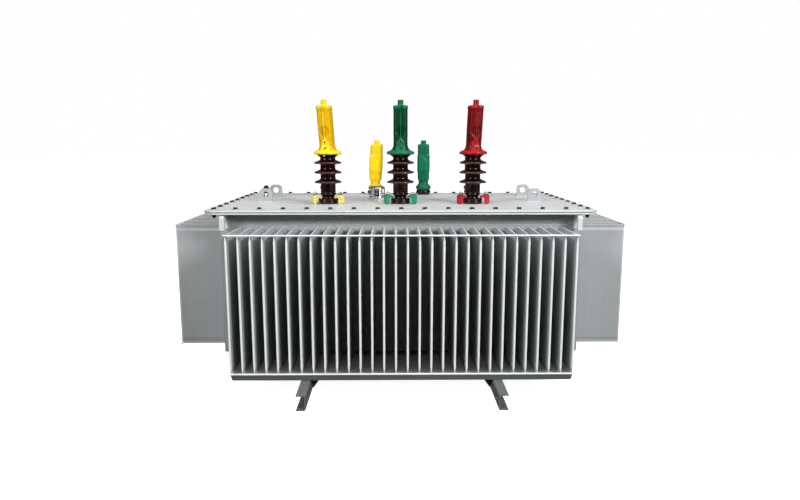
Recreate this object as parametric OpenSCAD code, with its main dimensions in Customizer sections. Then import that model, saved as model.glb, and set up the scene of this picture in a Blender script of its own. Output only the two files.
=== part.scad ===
// Oil-immersed power transformer with a corrugated tank.
// Millimetres. +Z is up, the ground is Z = 0, the origin is the centre of the footprint,
// and the high-voltage side faces -Y.

/* [Tank] */
// Length of the tank body along X
tank_length = 1630; // [1500:10:2000]
// Width of the tank body along Y
tank_width = 841; // [780:1:1100]
// Height of the tank wall, from its bottom edge to the top of its flange
tank_height = 653; // [560:1:900]
// Thickness of the tank's floor plate
floor_plate_t = 8; // [5:1:12]
// How far the floor plate stands inside the edge of the base tray
floor_plate_inset = 20; // [5:1:60]

/* [Lid] */
// Thickness of the lid plate
lid_t = 8; // [6:1:16]
// How far the lid reaches past the tank wall on the long sides
lid_overhang_y = 79.5; // [60:0.5:110]
// How far the lid reaches past the tank wall on the short sides
lid_overhang_x = 55; // [45:1:110]
// Size of the cut corners of the lid
lid_corner = 40; // [20:1:60]
// Thickness of the rubber gasket under the lid
gasket_t = 2; // [2:0.5:8]
// Thickness of the tank flange
flange_t = 8; // [6:1:16]
// How far the edges of the flange and gasket stand inside the edge of the lid
flange_inset = 3; // [0:0.5:20]
// Width of the gasket frame
gasket_w = 62; // [40:1:90]

/* [Fins] */
// Number of fins on each long side
long_fins = 30; // [10:1:32]
// Spacing of the fins on the long sides
long_fin_pitch = 50; // [40:1:50]
// Depth of the fins on the long sides
long_fin_depth = 265.5; // [150:0.5:320]
// Number of fins on each short side
short_fins = 12; // [6:1:12]
// Spacing of the fins on the short sides
short_fin_pitch = 60; // [45:1:60]
// Depth of the fins on the short sides
short_fin_depth = 226; // [120:1:300]
// Thickness of a fin
fin_t = 9; // [7:0.5:14]
// Thickness of the pressed ends of a fin
fin_end_t = 3; // [2:0.5:5]
// Height over which a fin thins down to its pressed ends
fin_press_h = 30; // [15:1:60]
// Size of the cut outer corners of a fin, where the bars are welded on
fin_corner = 8; // [6:0.5:12]
// Distance from the top of the fins to the top of the tank wall
fin_drop = 72; // [60:1:120]
// How much higher the short sides' fins start than the tank's bottom edge
short_fin_lift = 13; // [5:1:60]
// Diameter of the round bars along the outer corners of the fins
bar_d = 8; // [6:0.5:10]
// How far the bars run past the middle of the outermost fins
bar_overrun = 8; // [6:1:20]

/* [Base] */
// Height of the base channels
channel_h = 66; // [50:1:100]
// Width of the flanges of the base channels
channel_w = 40; // [34:1:60]
// Wall thickness of the base channels
channel_t = 5; // [4:0.5:7]
// Outer radius of the bends of the base channels
channel_bend = 8; // [8:0.5:12]
// Length of the base channels along Y
channel_length = 1705; // [1500:1:1900]
// Distance between the fixing holes of the two channels, along X
foot_gauge = 820; // [550:1:1070]
// Distance from a fixing hole to the end of its channel
foot_hole_end = 35.5; // [20:0.5:60]
// Distance from a fixing hole to the back of its channel's web
foot_hole_back = 22; // [18:0.5:30]
// Diameter of the fixing holes
foot_hole_d = 14; // [10:0.5:18]
// Diameter of the pulling holes in the channel webs
pull_hole_d = 24; // [16:1:30]
// Distance from a pulling hole to the end of its channel
pull_hole_end = 55; // [30:1:90]
// Height of the packer strips between the channels and the base tray
packer_h = 19; // [10:1:40]
// Thickness of the base tray's plate
tray_t = 4; // [3:0.5:8]
// Height of the base tray with its lips
tray_lip_h = 22; // [12:1:25]
// How far the tray reaches past the middle of the outermost fins
tray_overrun = 0; // [0:1:6]
// Thickness of the bearing bars between the base tray and the floor plate
bearing_t = 10; // [10:1:20]
// Width of the bearing bars
bearing_w = 60; // [40:1:100]
// How far the bearing bars and packers stand inside the edges above them
bearing_inset = 30; // [10:1:60]
// How far a gusset reaches from its channel
gusset_reach = 55; // [30:1:90]
// Thickness of a gusset
gusset_t = 6; // [4:1:10]
// Distance of the gussets from the middle of the transformer, along Y
gusset_y = 612; // [450:1:640]

/* [Lifting] */
// Width of a lid lug
lug_w = 67; // [60:1:100]
// Height of a lid lug
lug_h = 63; // [56:1:100]
// Thickness of a lid lug
lug_t = 10; // [8:1:16]
// Diameter of the hole in a lid lug
lug_hole_d = 30; // [20:1:36]
// Height of the hole above the lid
lug_hole_z = 33; // [30:1:50]
// Size of the cut top corners of a lid lug
lug_corner = 14; // [10:1:25]
// Distance of the lid lugs from the middle, along X
lug_x = 680; // [600:1:700]
// Place of the front pair of lid lugs along Y
lug_front_y = -26; // [-60:1:0]
// Place of the back pair of lid lugs along Y
lug_back_y = 275; // [200:1:320]
// How far a tank hook reaches from the wall
hook_reach = 78; // [60:1:90]
// Height of a tank hook
hook_h = 66; // [56:1:68]
// Thickness of a tank hook
hook_t = 20; // [10:1:22]
// Width of the hook's leg
hook_leg = 22; // [15:1:28]
// Width of the throat of the hook
hook_throat = 26; // [15:1:30]
// How far the hooks start below the underside of the flange
hook_drop = 3; // [1:1:20]
// Distance of the hooks from the ends of the tank, along X
hook_end = 30; // [12:1:40]

/* [High-voltage bushings] */
// Spacing of the high-voltage bushings along X
hv_pitch = 350; // [250:1:380]
// Place of the high-voltage bushings along Y
hv_y = -160; // [-240:1:-150]
// Diameter of the porcelain's foot
hv_foot_d = 96; // [88:1:100]
// Height of the porcelain's foot
hv_foot_h = 25; // [18:1:34]
// Diameter of the porcelain's body
hv_body_d = 72; // [56:1:76]
// Diameter of the sheds
hv_shed_d = 131; // [100:1:140]
// Height of the lowest shed's rim above the lid
hv_shed_z = 104.5; // [95:1:130]
// Spacing of the sheds
hv_shed_pitch = 46; // [36:1:50]
// Number of full sheds
hv_sheds = 3; // [2:1:4]
// Height of a bushing's covering cap
hv_cover_h = 257; // [220:1:280]
// Diameter of the cap's skirt
hv_skirt_d = 134; // [120:1:140]
// Width of the cap's upper body
hv_cover_w = 67; // [60:1:75]
// Lean of the yellow cap to the left, in degrees
lean_a = 4; // [0:0.5:5]
// Lean of the green cap to the left, in degrees
lean_b = 0; // [0:0.5:5]
// Lean of the red cap to the left, in degrees
lean_c = -2.5; // [-5:0.5:0]

/* [High-voltage clamps] */
// Height of a clamp above the porcelain's foot
clamp_rise = 20; // [16:1:30]
// Width of a clamp
clamp_w = 30; // [24:1:40]
// Distance from the bushing's axis to the outer face of a clamp
clamp_r = 84; // [78:1:100]
// Width of a clamp's foot, measured outward
clamp_foot = 20; // [14:1:24]

/* [Low-voltage bushings] */
// Spacing of the low-voltage bushings along X
lv_pitch = 271; // [180:1:300]
// Place of the low-voltage bushings along Y
lv_y = 380; // [330:1:390]
// Diameter of the low-voltage porcelain's foot
lv_foot_d = 80; // [64:1:90]
// Height of the low-voltage porcelain's foot
lv_foot_h = 26; // [18:1:40]
// Height of the low-voltage cap
lv_cover_h = 277; // [220:1:300]
// Diameter of the low-voltage cap's skirt
lv_skirt_d = 86; // [76:1:90]
// Width of the low-voltage cap's body
lv_cover_w = 66; // [58:1:74]
// Lean of the yellow low-voltage cap to the left, in degrees
lv_lean_a = -2.5; // [-4:0.5:0]

/* [Lid fittings] */
// Place of the pressure relief valve along X
valve_x = -121; // [-140:1:-110]
// Place of the pressure relief valve along Y
valve_y = 135; // [60:1:140]
// Diameter of the pressure relief valve
valve_d = 86; // [60:1:100]
// Height of the pressure relief valve
valve_h = 67; // [50:1:90]
// Place of the thermometer pocket along X
pocket_x = -710; // [-730:1:-690]
// Place of the thermometer pocket along Y
pocket_y = 150; // [100:1:180]
// Diameter of the thermometer pocket's cap
pocket_d = 30; // [20:1:40]
// Height of the thermometer pocket
pocket_h = 68; // [50:1:90]

/* [Hidden] */
$fn = 64;

STEEL = "#A9B1B1";
LID_STEEL = "#C6CACA";
DARK_STEEL = "#5B6164";
RUBBER = "#1C1D1F";
PORCELAIN = "#3E1A1B";
YELLOW = "#F5D20A";
GREEN = "#0B7A4B";
RED = "#B7141E";
BLACK = "#1A1A1C";
BRIGHT = "#C9CBCC";

// Heights, from the ground up
tray_top = channel_h + packer_h + tray_t;
floor_plate_z = tray_top + bearing_t;
tank_bottom = floor_plate_z + floor_plate_t;
tank_top = tank_bottom + tank_height;
lid_bottom = tank_top + gasket_t;
lid_top = lid_bottom + lid_t;

// Half sizes in plan
wall_x = tank_length / 2;
wall_y = tank_width / 2;
lid_x = wall_x + lid_overhang_x;
lid_y = wall_y + lid_overhang_y;

// The bars lie on the cut corners of the fins: this is how far a bar's axis is inside both edges
bar_seat = fin_corner / 2 - bar_d / 2 / sqrt(2);
fin_top = tank_top - fin_drop;
long_fin_bottom = tray_top + bar_d / 2 - bar_seat;
short_fin_bottom = tank_bottom + short_fin_lift;
long_bar_half = (long_fins - 1) / 2 * long_fin_pitch + bar_overrun;
short_bar_half = (short_fins - 1) / 2 * short_fin_pitch + bar_overrun;

tray_x = (long_fins - 1) / 2 * long_fin_pitch + tray_overrun;
tray_y = wall_y + long_fin_depth;

channel_back_x = foot_gauge / 2 - foot_hole_back;
foot_hole_y = channel_length / 2 - foot_hole_end;
pull_hole_y = channel_length / 2 - pull_hole_end;

hook_x = wall_x - hook_end;
hook_top = tank_top - flange_t - hook_drop;

hv_top = hv_shed_z + hv_sheds * hv_shed_pitch - 6.5;
lv_first = -1.5;

// ---- Shared shapes ----

// A plate centred on the origin, with its four corners cut
module cut_corner_plate(half_x, half_y, corner, thickness) {
    linear_extrude(thickness) polygon([
        [-half_x + corner, -half_y], [half_x - corner, -half_y],
        [half_x, -half_y + corner], [half_x, half_y - corner],
        [half_x - corner, half_y], [-half_x + corner, half_y],
        [-half_x, half_y - corner], [-half_x, -half_y + corner]
    ]);
}

// The same plate as a frame, with a rectangular opening
module cut_corner_frame(half_x, half_y, corner, thickness, open_x, open_y) {
    difference() {
        cut_corner_plate(half_x, half_y, corner, thickness);
        translate([-open_x, -open_y, -1]) cube([2 * open_x, 2 * open_y, thickness + 2]);
    }
}

// A rectangle centred on the origin with round corners
module round_rectangle(width, depth, radius) {
    square([width - 2 * radius, depth], center = true);
    square([width, depth - 2 * radius], center = true);
    for (x = [-1, 1], y = [-1, 1])
        translate([x * (width / 2 - radius), y * (depth / 2 - radius)]) circle(radius);
}

// ---- Tank ----

module tank_body() {
    color(STEEL) translate([-wall_x, -wall_y, tank_bottom]) cube([2 * wall_x, 2 * wall_y, tank_height]);
}

module tank_flange() {
    color(STEEL) translate([0, 0, tank_top - flange_t])
        cut_corner_frame(lid_x - flange_inset, lid_y - flange_inset, lid_corner, flange_t, wall_x, wall_y);
}

module lid_gasket() {
    edge_x = lid_x - flange_inset;
    edge_y = lid_y - flange_inset;
    color(RUBBER) translate([0, 0, tank_top])
        cut_corner_frame(edge_x, edge_y, lid_corner, gasket_t, edge_x - gasket_w, edge_y - gasket_w);
}

module lid() {
    color(LID_STEEL) translate([0, 0, lid_bottom]) cut_corner_plate(lid_x, lid_y, lid_corner, lid_t);
}

// ---- Fins ----

// One fin, its root at the origin and its depth along -Y: a slab with pressed, thin ends,
// cut to the outline that has the two corners for the bars
module fin(depth, height) {
    full = fin_t / 2;
    thin = fin_end_t / 2;
    intersection() {
        rotate([90, 0, 0]) linear_extrude(depth) polygon([
            [-thin, 0], [thin, 0], [full, fin_press_h], [full, height - fin_press_h],
            [thin, height], [-thin, height], [-full, height - fin_press_h], [-full, fin_press_h]
        ]);
        translate([-fin_t, 0, 0]) rotate([90, 0, 90]) linear_extrude(2 * fin_t) polygon([
            [0, 0], [-depth + fin_corner, 0], [-depth, fin_corner],
            [-depth, height - fin_corner], [-depth + fin_corner, height], [0, height]
        ]);
    }
}

// A row of fins that stand out of a wall towards -Y
module fin_row(count, pitch, depth, wall, bottom) {
    for (i = [0 : count - 1])
        translate([(i - (count - 1) / 2) * pitch, -wall, bottom]) fin(depth, fin_top - bottom);
}

// The two bars of a row of fins
module fin_bar_pair(half_length, depth, wall, bottom) {
    for (z = [bottom + bar_seat, fin_top - bar_seat])
        translate([-half_length, -(wall + depth - bar_seat), z])
            rotate([0, 90, 0]) cylinder(d = bar_d, h = 2 * half_length, $fn = 24);
}

module front_cooling_fins() {
    color(STEEL) fin_row(long_fins, long_fin_pitch, long_fin_depth, wall_y, long_fin_bottom);
}

module back_cooling_fins() {
    color(STEEL) rotate([0, 0, 180])
        fin_row(long_fins, long_fin_pitch, long_fin_depth, wall_y, long_fin_bottom);
}

module left_cooling_fins() {
    color(STEEL) rotate([0, 0, -90])
        fin_row(short_fins, short_fin_pitch, short_fin_depth, wall_x, short_fin_bottom);
}

module right_cooling_fins() {
    color(STEEL) rotate([0, 0, 90])
        fin_row(short_fins, short_fin_pitch, short_fin_depth, wall_x, short_fin_bottom);
}

module front_fin_bars() {
    color(STEEL) fin_bar_pair(long_bar_half, long_fin_depth, wall_y, long_fin_bottom);
}

module back_fin_bars() {
    color(STEEL) rotate([0, 0, 180]) fin_bar_pair(long_bar_half, long_fin_depth, wall_y, long_fin_bottom);
}

module left_fin_bars() {
    color(STEEL) rotate([0, 0, -90]) fin_bar_pair(short_bar_half, short_fin_depth, wall_x, short_fin_bottom);
}

module right_fin_bars() {
    color(STEEL) rotate([0, 0, 90]) fin_bar_pair(short_bar_half, short_fin_depth, wall_x, short_fin_bottom);
}

// ---- Base ----

module tank_floor_plate() {
    half_x = tray_x - floor_plate_inset;
    half_y = wall_y - floor_plate_inset;
    color(DARK_STEEL) translate([-half_x, -half_y, floor_plate_z])
        cube([2 * half_x, 2 * half_y, floor_plate_t]);
}

// Two flat bars above the channels, between the tray and the floor plate
module bearing_bars() {
    half_y = wall_y - floor_plate_inset - bearing_inset;
    color(DARK_STEEL) for (side = [-1, 1])
        translate([side * foot_gauge / 2 - bearing_w / 2, -half_y, tray_top])
            cube([bearing_w, 2 * half_y, bearing_t]);
}

// A plate under the long sides' fins, with a lip turned down along its front and back
module base_tray() {
    lip_drop = tray_lip_h - tray_t;
    color(DARK_STEEL) {
        translate([-tray_x, -tray_y, tray_top - tray_t]) cube([2 * tray_x, 2 * tray_y, tray_t]);
        for (side = [0, 1])
            mirror([0, side, 0]) translate([0, -tray_y + tray_t, tray_top - tray_t])
                rotate([90, 0, 0]) linear_extrude(tray_t) polygon([
                    [-tray_x, 0.01], [tray_x, 0.01],
                    [tray_x - lip_drop / 3, -lip_drop], [-tray_x + lip_drop / 3, -lip_drop]
                ]);
    }
}

// Two strips that carry the tray on the channels
module tray_packers() {
    half_y = tray_y - tray_t - 1;
    color(DARK_STEEL) for (side = [-1, 1])
        translate([side * (channel_back_x + channel_w / 2) - (channel_w - 2) / 2, -half_y, channel_h])
            cube([channel_w - 2, 2 * half_y, packer_h]);
}

// The outline of a bent C, with its back on X = 0 and its flanges towards +X
module channel_outline() {
    inner_bend = channel_bend - channel_t;
    difference() {
        union() {
            translate([channel_bend, 0]) square([channel_w - channel_bend, channel_h]);
            translate([0, channel_bend]) square([channel_w, channel_h - 2 * channel_bend]);
            for (y = [channel_bend, channel_h - channel_bend])
                translate([channel_bend, y]) circle(channel_bend);
        }
        translate([channel_bend, channel_t]) square([channel_w, channel_h - 2 * channel_t]);
        translate([channel_t, channel_bend]) square([channel_w, channel_h - 2 * channel_bend]);
        for (y = [channel_bend, channel_h - channel_bend])
            translate([channel_bend, y]) circle(inner_bend);
    }
}

// The channel on the +X side
module base_channel() {
    difference() {
        translate([channel_back_x, channel_length / 2, 0])
            rotate([90, 0, 0]) linear_extrude(channel_length) channel_outline();
        for (side = [-1, 1]) {
            translate([foot_gauge / 2, side * foot_hole_y, -1])
                cylinder(d = foot_hole_d, h = channel_t + 2, $fn = 48);
            translate([channel_back_x - 1, side * pull_hole_y, channel_h / 2])
                rotate([0, 90, 0]) cylinder(d = pull_hole_d, h = channel_t + 2, $fn = 48);
        }
    }
}

module left_base_channel() {
    color(DARK_STEEL) mirror([1, 0, 0]) base_channel();
}

module right_base_channel() {
    color(DARK_STEEL) base_channel();
}

// Four triangular plates between the channels' backs and the underside of the tray
module channel_gussets() {
    foot = channel_bend;
    top = channel_h + packer_h;
    color(DARK_STEEL) for (x = [0, 1], y = [0, 1])
        mirror([x, 0, 0]) mirror([0, y, 0])
            translate([channel_back_x, -gusset_y + gusset_t / 2, 0]) rotate([90, 0, 0])
                linear_extrude(gusset_t) polygon([
                    [0, foot], [0, channel_h - channel_bend], [0, top],
                    [-gusset_reach, top], [-gusset_reach, top - 6], [-4, foot]
                ]);
}

// ---- Lifting points ----

// One hook: a plate that stands out of the wall, with a throat open downwards
module tank_hook() {
    round_r = 14;
    throat_r = hook_throat / 2;
    root = hook_reach - hook_leg - hook_throat;
    throat_top = hook_h / 2 - 4;
    rotate([90, 0, 90]) translate([0, 0, -hook_t / 2]) linear_extrude(hook_t) difference() {
        union() {
            translate([-hook_reach + round_r, -hook_h]) square([hook_reach - round_r, hook_h]);
            translate([-hook_reach, -hook_h]) square([hook_reach, hook_h - round_r]);
            translate([-hook_reach + round_r, -round_r]) circle(round_r);
        }
        translate([-root - hook_throat, -hook_h - 1]) square([hook_throat, throat_top + 1]);
        translate([-root - throat_r, -hook_h + throat_top]) circle(throat_r);
    }
}

module tank_hooks() {
    color(STEEL) for (x = [0, 1], y = [0, 1])
        mirror([x, 0, 0]) mirror([0, y, 0]) translate([hook_x, -wall_y, hook_top]) tank_hook();
}

module lid_lug(x, y) {
    color(LID_STEEL) translate([x, y + lug_t / 2, lid_top]) rotate([90, 0, 0]) difference() {
        linear_extrude(lug_t) polygon([
            [-lug_w / 2, 0], [lug_w / 2, 0], [lug_w / 2, lug_h - lug_corner],
            [lug_w / 2 - lug_corner, lug_h], [-lug_w / 2 + lug_corner, lug_h],
            [-lug_w / 2, lug_h - lug_corner]
        ]);
        translate([0, lug_hole_z, -1]) cylinder(d = lug_hole_d, h = lug_t + 2);
    }
}

module front_left_lug() lid_lug(-lug_x, lug_front_y);
module front_right_lug() lid_lug(lug_x, lug_front_y);
module back_left_lug() lid_lug(-lug_x, lug_back_y);
module back_right_lug() lid_lug(lug_x, lug_back_y);

// ---- High-voltage bushings ----

// Outline of one shed, from its underside to where it meets the body above
function shed_outline(z, rim_r, body_r) = [
    [body_r, z - 8], [body_r + 6, z - 6], [rim_r - 8, z - 5], [rim_r - 2, z - 4],
    [rim_r, z - 1], [rim_r - 1, z + 2], [rim_r - 6, z + 5],
    [body_r + 12, z + 10], [body_r + 3, z + 14], [body_r, z + 19]
];

module hv_bushing(index) {
    body_r = hv_body_d / 2;
    foot_r = hv_foot_d / 2;
    rim_r = hv_shed_d / 2;
    outline = concat(
        [[0, 0], [foot_r - 5, 0], [foot_r - 1, 7], [foot_r, 9], [foot_r - 2, 12],
         [foot_r, 15], [foot_r, hv_foot_h - 3], [foot_r - 3, hv_foot_h],
         [body_r - 6, hv_foot_h + 1], [body_r - 7, hv_foot_h + 10], [body_r - 3, hv_foot_h + 17],
         [body_r + 2, hv_foot_h + 20], [body_r + 2, hv_foot_h + 25], [body_r, hv_foot_h + 27]],
        [for (i = [0 : hv_sheds - 1]) each shed_outline(hv_shed_z + i * hv_shed_pitch, rim_r, body_r)],
        [[body_r, hv_top - 14], [body_r + 5, hv_top - 10], [body_r + 13, hv_top - 4],
         [body_r + 15, hv_top], [0, hv_top]]
    );
    color(PORCELAIN) translate([index * hv_pitch, hv_y, lid_top]) rotate_extrude() polygon(outline);
}

module hv_bushing_a() hv_bushing(-1);
module hv_bushing_b() hv_bushing(0);
module hv_bushing_c() hv_bushing(1);

// The cap over a bushing: a skirt and cone, and a leaning body with a collar and a cable nib
module hv_cover(index, lean) {
    skirt_r = hv_skirt_d / 2;
    neck_z = 42;
    shoulder_z = hv_cover_h - 42;
    collar_z = hv_cover_h - 26;
    half_w = hv_cover_w / 2;
    translate([index * hv_pitch, hv_y, lid_top + hv_top]) {
        rotate_extrude() polygon([
            [0, 0], [skirt_r - 4, 0], [skirt_r - 1, 3], [skirt_r, 7], [skirt_r - 1, 11], [skirt_r - 6, 15],
            [half_w + 14, 20], [half_w + 6, 28], [half_w, neck_z], [0, neck_z]
        ]);
        translate([0, 0, neck_z - 12]) rotate([0, -lean, 0]) translate([0, 0, 12 - neck_z]) {
            translate([0, 0, neck_z - 12]) linear_extrude(shoulder_z - neck_z + 12)
                round_rectangle(hv_cover_w, hv_cover_w, 16);
            translate([0, 0, shoulder_z]) linear_extrude(collar_z - shoulder_z)
                round_rectangle(hv_cover_w + 4, hv_cover_w + 4, 18);
            translate([0, 0, collar_z]) cylinder(d = 30, h = 26);
        }
    }
}

module hv_cover_a() color(YELLOW) hv_cover(-1, lean_a);
module hv_cover_b() color(GREEN) hv_cover(0, lean_b);
module hv_cover_c() color(RED) hv_cover(1, lean_c);

// Three claw clamps, each standing on the lid and pressing on the porcelain's foot
module hv_clamps(index) {
    jaw_tip = hv_foot_d / 2 - 8;
    jaw_z = hv_foot_h + 0.3;
    foot_in = clamp_r - clamp_foot;
    top = hv_foot_h + clamp_rise;
    translate([index * hv_pitch, hv_y, lid_top]) for (turn = [90 : 120 : 330])
        rotate([90, 0, turn]) translate([0, 0, -clamp_w / 2]) linear_extrude(clamp_w) polygon([
            [foot_in, 0], [clamp_r, 0], [clamp_r, top - 8], [clamp_r - 8, top],
            [foot_in - 8, top], [jaw_tip, top - 9], [jaw_tip, jaw_z], [jaw_tip + 7, jaw_z],
            [jaw_tip + 9, jaw_z + 6], [foot_in - 6, jaw_z + 6], [foot_in, jaw_z - 4]
        ]);
}

module hv_clamps_a() color(YELLOW) hv_clamps(-1);
module hv_clamps_b() color(GREEN) hv_clamps(0);
module hv_clamps_c() color(RED) hv_clamps(1);

// ---- Low-voltage bushings ----

module lv_bushing(index) {
    foot_r = lv_foot_d / 2;
    color(PORCELAIN) translate([(lv_first + index) * lv_pitch, lv_y, lid_top]) rotate_extrude() polygon([
        [0, 0], [foot_r - 4, 0], [foot_r - 4, 8], [foot_r, 11],
        [foot_r, lv_foot_h - 4], [foot_r - 3, lv_foot_h], [0, lv_foot_h]
    ]);
}

module lv_bushing_n() lv_bushing(0);
module lv_bushing_a() lv_bushing(1);
module lv_bushing_b() lv_bushing(2);
module lv_bushing_c() lv_bushing(3);

// The cap over a low-voltage bushing: a flared skirt, a neck and a leaning body in three widths
module lv_cover(index, lean) {
    skirt_r = lv_skirt_d / 2;
    lower_z = 54;
    middle_z = 104;
    upper_z = 196;
    shoulder_z = lv_cover_h - 21;
    translate([(lv_first + index) * lv_pitch, lv_y, lid_top + lv_foot_h]) {
        rotate_extrude() polygon([
            [0, 0], [skirt_r - 8, 0], [skirt_r - 1, 10], [skirt_r, 16], [skirt_r - 4, 23],
            [skirt_r - 13, 31], [27, 40], [27, lower_z + 4], [0, lower_z + 4]
        ]);
        translate([0, 0, lower_z]) rotate([0, -lean, 0]) translate([0, 0, -lower_z]) {
            translate([0, 0, lower_z]) linear_extrude(middle_z - lower_z)
                round_rectangle(lv_cover_w - 2, lv_cover_w - 2, 16);
            translate([0, 0, middle_z]) linear_extrude(upper_z - middle_z)
                round_rectangle(lv_cover_w + 4, lv_cover_w, 18);
            translate([0, 0, upper_z]) linear_extrude(shoulder_z - upper_z)
                round_rectangle(lv_cover_w - 1, lv_cover_w - 4, 16);
            translate([0, 0, shoulder_z]) cylinder(d = 30, h = lv_cover_h - shoulder_z);
        }
    }
}

module lv_cover_n() color(BLACK) lv_cover(0, 0);
module lv_cover_a() color(YELLOW) lv_cover(1, lv_lean_a);
module lv_cover_b() color(GREEN) lv_cover(2, 0);
module lv_cover_c() color(RED) lv_cover(3, 0);

// ---- Lid fittings ----

// A relief valve with a base ring, a cage of posts and a cap
module pressure_relief_valve() {
    outer_r = valve_d / 2;
    ring_h = 15;
    cap_z = valve_h - 22;
    color(BRIGHT) translate([valve_x, valve_y, lid_top]) {
        cylinder(r = outer_r, h = ring_h);
        cylinder(r = outer_r - 10, h = cap_z + 1);
        for (turn = [0 : 45 : 315])
            rotate([0, 0, turn]) translate([outer_r - 9, -4, ring_h - 1]) cube([8, 8, cap_z - ring_h + 2]);
        translate([0, 0, cap_z]) cylinder(r = outer_r, h = 12);
        translate([0, 0, cap_z + 12]) cylinder(r = outer_r - 12, h = valve_h - cap_z - 12);
    }
}

// A short pocket with a domed cap
module thermometer_pocket() {
    cap_r = pocket_d / 2;
    color(BLACK) translate([pocket_x, pocket_y, lid_top]) rotate_extrude() polygon([
        [0, 0], [cap_r + 3, 0], [cap_r + 3, 8], [cap_r - 4, 8], [cap_r - 4, 28], [cap_r, 30],
        [cap_r, pocket_h - 13], [cap_r - 2, pocket_h - 8], [cap_r - 6, pocket_h - 3],
        [3, pocket_h], [0, pocket_h]
    ]);
}

tank_body();
tank_flange();
lid_gasket();
lid();
front_cooling_fins();
back_cooling_fins();
left_cooling_fins();
right_cooling_fins();
front_fin_bars();
back_fin_bars();
left_fin_bars();
right_fin_bars();
tank_floor_plate();
bearing_bars();
base_tray();
tray_packers();
left_base_channel();
right_base_channel();
channel_gussets();
tank_hooks();
front_left_lug();
front_right_lug();
back_left_lug();
back_right_lug();
hv_bushing_a();
hv_bushing_b();
hv_bushing_c();
hv_cover_a();
hv_cover_b();
hv_cover_c();
hv_clamps_a();
hv_clamps_b();
hv_clamps_c();
lv_bushing_n();
lv_bushing_a();
lv_bushing_b();
lv_bushing_c();
lv_cover_n();
lv_cover_a();
lv_cover_b();
lv_cover_c();
pressure_relief_valve();
thermometer_pocket();
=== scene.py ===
"""Looks of an oil-immersed power transformer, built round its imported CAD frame."""
import math
import random

import bmesh
import bpy
from mathutils import Matrix, Vector

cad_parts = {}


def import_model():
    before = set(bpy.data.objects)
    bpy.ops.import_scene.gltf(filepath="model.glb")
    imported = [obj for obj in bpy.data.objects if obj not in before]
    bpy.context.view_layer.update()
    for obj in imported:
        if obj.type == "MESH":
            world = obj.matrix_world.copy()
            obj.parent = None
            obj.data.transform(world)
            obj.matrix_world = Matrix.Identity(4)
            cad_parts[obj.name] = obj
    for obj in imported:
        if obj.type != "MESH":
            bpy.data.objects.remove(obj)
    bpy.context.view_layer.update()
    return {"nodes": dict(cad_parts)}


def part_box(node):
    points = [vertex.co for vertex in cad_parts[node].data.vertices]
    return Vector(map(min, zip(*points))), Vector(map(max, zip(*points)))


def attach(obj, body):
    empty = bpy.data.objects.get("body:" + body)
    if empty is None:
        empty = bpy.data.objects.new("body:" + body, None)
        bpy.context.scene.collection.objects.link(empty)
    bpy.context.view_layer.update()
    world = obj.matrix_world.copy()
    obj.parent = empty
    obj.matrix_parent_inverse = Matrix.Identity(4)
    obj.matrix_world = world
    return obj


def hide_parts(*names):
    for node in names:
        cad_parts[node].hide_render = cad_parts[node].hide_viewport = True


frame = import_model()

MM = 0.001
scene = bpy.context.scene
nodes = frame["nodes"]
random.seed(7)

# ---------------------------------------------------------------- places taken from the frame

lid_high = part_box("lid")[1]
flange_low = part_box("tank_flange")[0]
wall_low, wall_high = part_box("tank_body")
LID_TOP = lid_high.z
CORNERS = ("front_left", "front_right", "back_left", "back_right")
SIDES = {"front": 0, "right": 90, "back": 180, "left": -90}
HV_PHASES = "abc"
LV_PHASES = "nabc"
PHASE_COLOUR = {"a": "yellow", "b": "green", "c": "red", "n": "black"}


def axis_of(node):
    """Middle of a CAD node in plan."""
    low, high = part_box(node)
    return Vector(((low.x + high.x) / 2, (low.y + high.y) / 2, 0))


def reach_of(side, low, high):
    """How far a box reaches from the middle of the transformer towards one side."""
    return {"front": -low.y, "back": high.y, "left": -low.x, "right": high.x}[side]


# ---------------------------------------------------------------- small maths


def smooth(value, low=0.0, high=1.0):
    """Smooth step from 0 at low to 1 at high."""
    t = min(1.0, max(0.0, (value - low) / (high - low)))
    return t * t * (3 - 2 * t)


def arc(centre, radius, start, stop, steps):
    """Points of an arc in the plane, angles in degrees."""
    points = []
    for i in range(steps + 1):
        a = math.radians(start + (stop - start) * i / steps)
        points.append((centre[0] + radius * math.cos(a), centre[1] + radius * math.sin(a)))
    return points


def rounded(points, radius, steps):
    """An open outline with its inner corners rounded."""
    out = [points[0]]
    for before, here, after in zip(points, points[1:], points[2:]):
        a, b, c = Vector(before), Vector(here), Vector(after)
        reach_in = min(radius, (a - b).length * 0.45)
        reach_out = min(radius, (c - b).length * 0.45)
        start = b + (a - b).normalized() * reach_in
        stop = b + (c - b).normalized() * reach_out
        for i in range(steps + 1):
            t = i / steps
            out.append(tuple(start * (1 - t) ** 2 + b * 2 * t * (1 - t) + stop * t * t))
    out.append(points[-1])
    return out


# ---------------------------------------------------------------- mesh building


def add_rings(bm, rings):
    """Skins a list of equal closed rings of points, and closes both ends."""
    made = [[bm.verts.new(p) for p in ring] for ring in rings]
    count = len(made[0])
    for low, high in zip(made, made[1:]):
        for i in range(count):
            j = (i + 1) % count
            bm.faces.new((low[i], low[j], high[j], high[i]))
    bm.faces.new(list(reversed(made[0])))
    bm.faces.new(made[-1])
    return made


def add_lathe(bm, profile, centre, segments, place=None):
    """Turns an (r, z) profile round the vertical axis through centre, or puts it where place says."""
    rings = []
    for r, z in profile:
        ring = []
        for i in range(segments):
            a = 2 * math.pi * i / segments
            p = Vector((max(r, 1e-5) * math.cos(a), max(r, 1e-5) * math.sin(a), z))
            ring.append(place @ p if place else p + centre)
        rings.append(ring)
    add_rings(bm, rings)


def add_box(bm, low, high):
    """A plain box between two corners."""
    rings = []
    for z in (low[2], high[2]):
        rings.append([Vector(p) for p in (
            (low[0], low[1], z), (high[0], low[1], z), (high[0], high[1], z), (low[0], high[1], z))])
    add_rings(bm, rings)


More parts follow.
